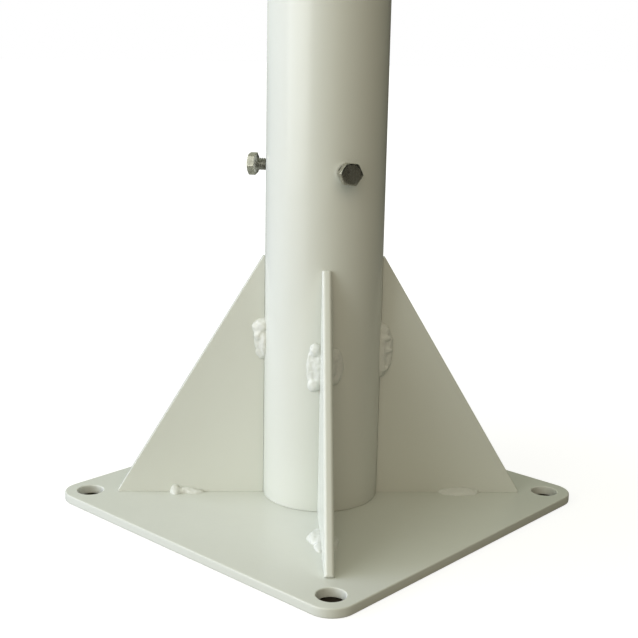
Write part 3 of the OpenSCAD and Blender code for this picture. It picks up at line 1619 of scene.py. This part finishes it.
@dataclass
class SetBolt:
    """One set bolt, along its own axis through the tube's wall.

    Attributes:
        name: The bolt's place, as its CAD node spells it.
        degrees: Direction of the bolt.
        head_turn: Turn of the head, in degrees.
        sizes: Sizes from the frame.
        finishes: The materials.
        head_height: Height of the head.
        form: The bolt's form.
    """

    name: str
    degrees: float
    head_turn: float
    sizes: MastSizes
    finishes: Finishes
    head_height: float = 5.3 * MM
    form: BoltForm = BoltForm()

    def build(self) -> None:
        """Builds the bolt and dresses it."""
        shell = Shell()
        shank = self._shank(shell)
        head = self._head(shell)
        shell.bridge(shank[-1], head[0])
        shell.cap(shank[0], Vector((0, 0, self.sizes.bolt_tip)), 1)
        shell.cap(head[-1], Vector((0, 0, self.sizes.bolt_face)))
        along = Matrix.Rotation(QUARTER_TURN, 4, "Y")
        lift = Matrix.Translation((0, 0, self.sizes.bolt_height))
        place = lift @ turned(self.degrees) @ along
        metals = [self.finishes.zinc, self.finishes.thread]
        piece = shell.piece(f"bolt_{self.name}", metals, place)
        mount_piece(piece, f"set_bolt_{self.name}", f"set_bolt_{self.name}")

    def _seat(self) -> float:
        """Distance of the head's seat from the mast's axis."""
        return self.sizes.bolt_face - self.head_height

    def _angles(self) -> list[float]:
        """The directions round the bolt's axis."""
        return [FULL_TURN * i / self.form.flats for i in range(self.form.flats)]

    def _ring(
        self, shell: Shell, reach: Callable[[float], float], z: Callable[[float], float]
    ) -> Loop:
        """A ring whose radius and height follow the direction.

        Args:
            shell: The shell that the ring joins.
            reach: Gives the radius at an angle.
            z: Gives the height at an angle.

        Returns:
            The ring.
        """
        return shell.loop(
            Vector((reach(a) * math.cos(a), reach(a) * math.sin(a), z(a)))
            for a in self._angles()
        )

    def _thread(self, angle: float, z: float) -> float:
        """Radius of the threaded shank.

        Args:
            angle: Direction round the axis.
            z: Distance from the mast's axis.

        Returns:
            The radius there.
        """
        form = self.form
        phase = (z / form.pitch - angle / FULL_TURN) % 1
        ridge = min(1.0, max(0.0, abs(phase - 0.5) * form.flank - form.root_flat))
        fade = min(1.0, (self._seat() - z) / form.pitch)
        radius = form.crest - form.depth * (1 - ridge) * fade
        chamfer = form.crest - form.tip_chamfer + (z - self.sizes.bolt_tip)
        return min(radius, chamfer)

    def _shank(self, shell: Shell) -> list[Loop]:
        """Builds the threaded shank from its tip to the head's seat."""
        length = self._seat() - self.sizes.bolt_tip
        count = round(length / self.form.pitch * self.form.steps)
        loops = []
        for i in range(count + 1):
            z = self.sizes.bolt_tip + length * i / count
            loops.append(
                self._ring(shell, lambda a, z=z: self._thread(a, z), lambda a, z=z: z)
            )
        shell.skin(loops, 1)
        return loops

    def _head(self, shell: Shell) -> list[Loop]:
        """Builds the head's rings from its seat to its top face."""
        form = self.form
        turn = math.radians(self.head_turn)
        seat = self._seat()
        top = self.sizes.bolt_face
        face = form.across_flats / 2 - form.face_margin
        soft = form.soft
        low = seat + form.washer_face

        def side(inset: float = 0.0) -> Callable[[float], float]:
            """Reach of the head's six sides."""
            return lambda a: form.hexagon(a, turn, inset)

        def cone(inset: float, under: float = 0.0) -> Callable[[float], float]:
            """Height at which the top cone meets the sides, less under."""
            reach = side(inset)
            return lambda a: top - max(0.0, reach(a) - face) / form.chamfer_run - under

        def level(value: float) -> Callable[[float], float]:
            """The same reach or height all round."""
            return lambda a: value

        rings = [
            (level(face - soft), level(seat)),
            (level(face), level(seat + soft)),
            (level(face), level(low)),
            (side(soft), level(low)),
            (side(), level(low + soft)),
            (side(), level(low + 2 * soft)),
            (side(), cone(0.0, 2 * soft)),
            (side(), cone(0.0, soft)),
            (side(soft), cone(soft)),
            (level(face), level(top - 0.5 * soft)),
            (level(face - soft), level(top)),
            (level(face - 3 * soft), level(top)),
        ]
        loops = [self._ring(shell, reach, height) for reach, height in rings]
        shell.skin(loops)
        return loops


# ------------------------------------------------------------------------------ studio


@dataclass(frozen=True)
class SoftBox:
    """A rectangular area lamp that looks at a point.

    Attributes:
        name: The lamp's name.
        place: Where it stands.
        target: What it looks at.
        width: Its width.
        height: Its height.
        power: Its power in watts.
        colour: Its colour.
        mirrored: Whether glossy surfaces show it.
    """

    name: str
    place: tuple[float, float, float]
    target: tuple[float, float, float]
    width: float
    height: float
    power: float
    colour: tuple[float, float, float]
    mirrored: bool = True

    def build(self) -> None:
        """Adds the lamp."""
        data = bpy.data.lights.new(self.name, "AREA")
        data.shape = "RECTANGLE"
        data.size = self.width
        data.size_y = self.height
        data.energy = self.power
        data.color = self.colour
        lamp = put(self.name, data)
        lamp.location = self.place
        lamp.visible_camera = False
        lamp.visible_glossy = self.mirrored
        aim = Vector(self.target) - Vector(self.place)
        lamp.rotation_euler = aim.to_track_quat("-Z", "Y").to_euler()


@dataclass(frozen=True)
class ViewPoint:
    """The camera's place and aim.

    Attributes:
        place: Where the camera stands.
        azimuth: Where it stands round the mast, in degrees, from the side at -Y.
        elevation: How far it looks down, in degrees.
        roll: How far it leans, in degrees.
        lens: Focal length in millimetres.
        film: Width of the film in millimetres.
    """

    place: tuple[float, float, float] = (0.4890, -0.5403, 0.2932)
    azimuth: float = 42.347
    elevation: float = 13.015
    roll: float = 1.137
    lens: float = 64.66
    film: float = 36.0

    def build(self) -> None:
        """Adds the camera and makes it the scene's."""
        data = bpy.data.cameras.new("camera")
        data.lens = self.lens
        data.sensor_width = self.film
        data.clip_start = 0.01
        data.clip_end = 50.0
        camera = put("camera", data)
        upright = Matrix.Rotation(math.radians(90 - self.elevation), 4, "X")
        lean = Matrix.Rotation(math.radians(self.roll), 4, "Z")
        place = Matrix.Translation(self.place)
        camera.matrix_world = place @ turned(self.azimuth) @ upright @ lean
        bpy.context.scene.camera = camera


@dataclass(frozen=True)
class DarkCard:
    """An upright card that keeps light off one side, and that the camera doesn't see.

    Attributes:
        name: The card's name.
        start: One end of its foot, as a distance and a direction in degrees.
        end: The other end.
        height: Its height.
    """

    name: str
    start: tuple[float, float]
    end: tuple[float, float]
    height: float = 2.2

    def build(self, finish: bpy.types.Material) -> None:
        """Adds the card.

        Args:
            finish: Its material.
        """
        feet = [polar(*self.start), polar(*self.end)]
        tops = [polar(*self.end, self.height), polar(*self.start, self.height)]
        flat_panel(self.name, [*feet, *tops], finish).visible_camera = False


@dataclass
class Studio:
    """A pale floor, soft lamps on the left, a weak one on the right, and dark cards.

    Attributes:
        sizes: Sizes from the frame.
        floor_half: Half the floor's width.
        floor_colour: The floor's colour.
        shaded_colour: The floor's colour under the plate, seen through its holes.
        lit_near: Distance up to which the floor is only lit by the lamps.
        white_from: Distance from which the camera sees it as white.
        white_near: White that the camera sees added near the mast.
        card_colour: The cards' colour.
        white: The background's colour.
        room: The light that the room gives.
        boxes: The lamps.
        cards: The dark cards.
    """

    sizes: MastSizes
    floor_half: float = 25.0
    floor_colour: Colour = (0.32, 0.32, 0.30, 1.0)
    shaded_colour: Colour = (0.03, 0.025, 0.02, 1.0)
    lit_near: float = 0.16
    white_from: float = 0.7
    white_near: float = 0.82
    card_colour: Colour = (0.015, 0.014, 0.011, 1.0)
    white: Colour = (1.0, 1.0, 1.0, 1.0)
    room: Colour = (0.515, 0.54, 0.44, 1.0)
    boxes: tuple[SoftBox, ...] = (
        SoftBox(
            "window", (-0.49, -1.94, 0.6), (0, 0, 0.2), 1.8, 1.7, 27.2, (0.98, 1.0, 0.985)
        ),
        SoftBox(
            "side_fill", (-1.22, -1.07, 0.5), (0, 0, 0.3), 1.1, 1.1, 14.6, (0.72, 0.74, 1.0),
            mirrored=False,
        ),
        SoftBox(
            "side_glow", (-1.22, -1.07, 0.5), (0, 0, 0.3), 1.1, 1.1, 6.2, (0.82, 0.85, 1.0)
        ),
        SoftBox(
            "room_fill", (1.02, -0.83, 0.9), (0, 0, 0.2), 1.1, 1.1, 7.0, (1.0, 0.85, 0.65),
            mirrored=False,
        ),
    )
    cards: tuple[DarkCard, ...] = (
        DarkCard("card_behind", (2.0, 120.0), (1.7, 45.0), 0.9),
        DarkCard("card_right", (1.7, 45.0), (1.8, -25.0)),
        DarkCard("card_front", (1.8, -25.0), (1.9, -62.0)),
    )

    def build(self) -> None:
        """Builds the room, the lamps and the camera, and sets the colour view."""
        self._world()
        self._floor()
        material, _, shader = new_material("dark_card")
        shader.inputs["Base Color"].default_value = self.card_colour
        shader.inputs["Roughness"].default_value = 0.9
        for card in self.cards:
            card.build(material)
        for box in self.boxes:
            box.build()
        ViewPoint().build()
        bpy.context.scene.view_settings.view_transform = "Standard"

    def _world(self) -> None:
        """A white background for the camera and glass, and a dim room for the rest."""
        world = bpy.data.worlds.new("room")
        world.use_nodes = True
        bpy.context.scene.world = world
        nodes = Nodes(world.node_tree)
        sky = world.node_tree.nodes["Background"]
        path = nodes.add("ShaderNodeLightPath").outputs
        seen = nodes.maths("MAXIMUM", path["Is Camera Ray"], path["Is Transmission Ray"])
        nodes.feed(sky.inputs["Color"], nodes.mix(seen, self.room, self.white))
        sky.inputs["Strength"].default_value = 1.0

    def _floor(self) -> None:
        """A wide pale floor that turns white away from the mast."""
        material, nodes, shader = new_material("pale_floor")
        parts = nodes.add("ShaderNodeSeparateXYZ")
        nodes.feed(parts.inputs[0], nodes.place())
        sides = [nodes.maths("ABSOLUTE", parts.outputs[i]) for i in range(2)]
        square = nodes.maths("MAXIMUM", *sides)
        under = self.sizes.anchor_half + self.sizes.anchor_radius
        hidden = nodes.ramp(square, under, under + MM, 1.0, 0.0)
        colour = nodes.mix(hidden, self.floor_colour, self.shaded_colour)
        nodes.feed(shader.inputs["Base Color"], colour)
        shader.inputs["Roughness"].default_value = 0.8
        shader.inputs["Specular IOR Level"].default_value = 0.0
        length = nodes.add("ShaderNodeVectorMath", operation="LENGTH")
        nodes.feed(length.inputs[0], nodes.place())
        away = nodes.ramp(
            length.outputs["Value"], self.lit_near, self.white_from, self.white_near, 1.0
        )
        path = nodes.add("ShaderNodeLightPath").outputs
        open_floor = nodes.maths("SUBTRACT", 1.0, hidden)
        seen = nodes.maths("MULTIPLY", path["Is Camera Ray"], open_floor)
        shader.inputs["Emission Color"].default_value = self.white
        nodes.feed(shader.inputs["Emission Strength"], nodes.maths("MULTIPLY", away, seen))
        half = self.floor_half
        corners = [(-half, -half, 0), (half, -half, 0), (half, half, 0), (-half, half, 0)]
        flat_panel("floor", corners, material)


# -------------------------------------------------------------------------------- main


def bolt_directions() -> dict[str, float]:
    """Directions of the set bolts, from the axes of their joints.

    Returns:
        The bolt's place and its direction in degrees from +X.
    """
    found = {}
    for joint in frame["joints"]:
        x, y, _ = joint["axis"]
        found[joint["child"].removeprefix("set_bolt_")] = math.degrees(math.atan2(-y, -x))
    return found


def main() -> None:
    """Builds the mast's base section and its studio."""
    logging.basicConfig(level=logging.INFO, format="%(name)s: %(message)s")
    sizes = MastSizes.from_frame()
    finishes = Finishes.build(sizes)
    directions = bolt_directions()
    head_turns = {"front": 24.5, "back": 8.0, "left": 20.0}
    FootPlate(sizes, finishes).build()
    DrilledTube(sizes, finishes, tuple(directions.values())).build()
    GussetSet(sizes, finishes).build()
    TackWelds(sizes, finishes).build()
    for name, degrees in directions.items():
        SetBolt(name, degrees, head_turns[name], sizes, finishes).build()
    Studio(sizes).build()


if __name__ == "__main__":
    main()
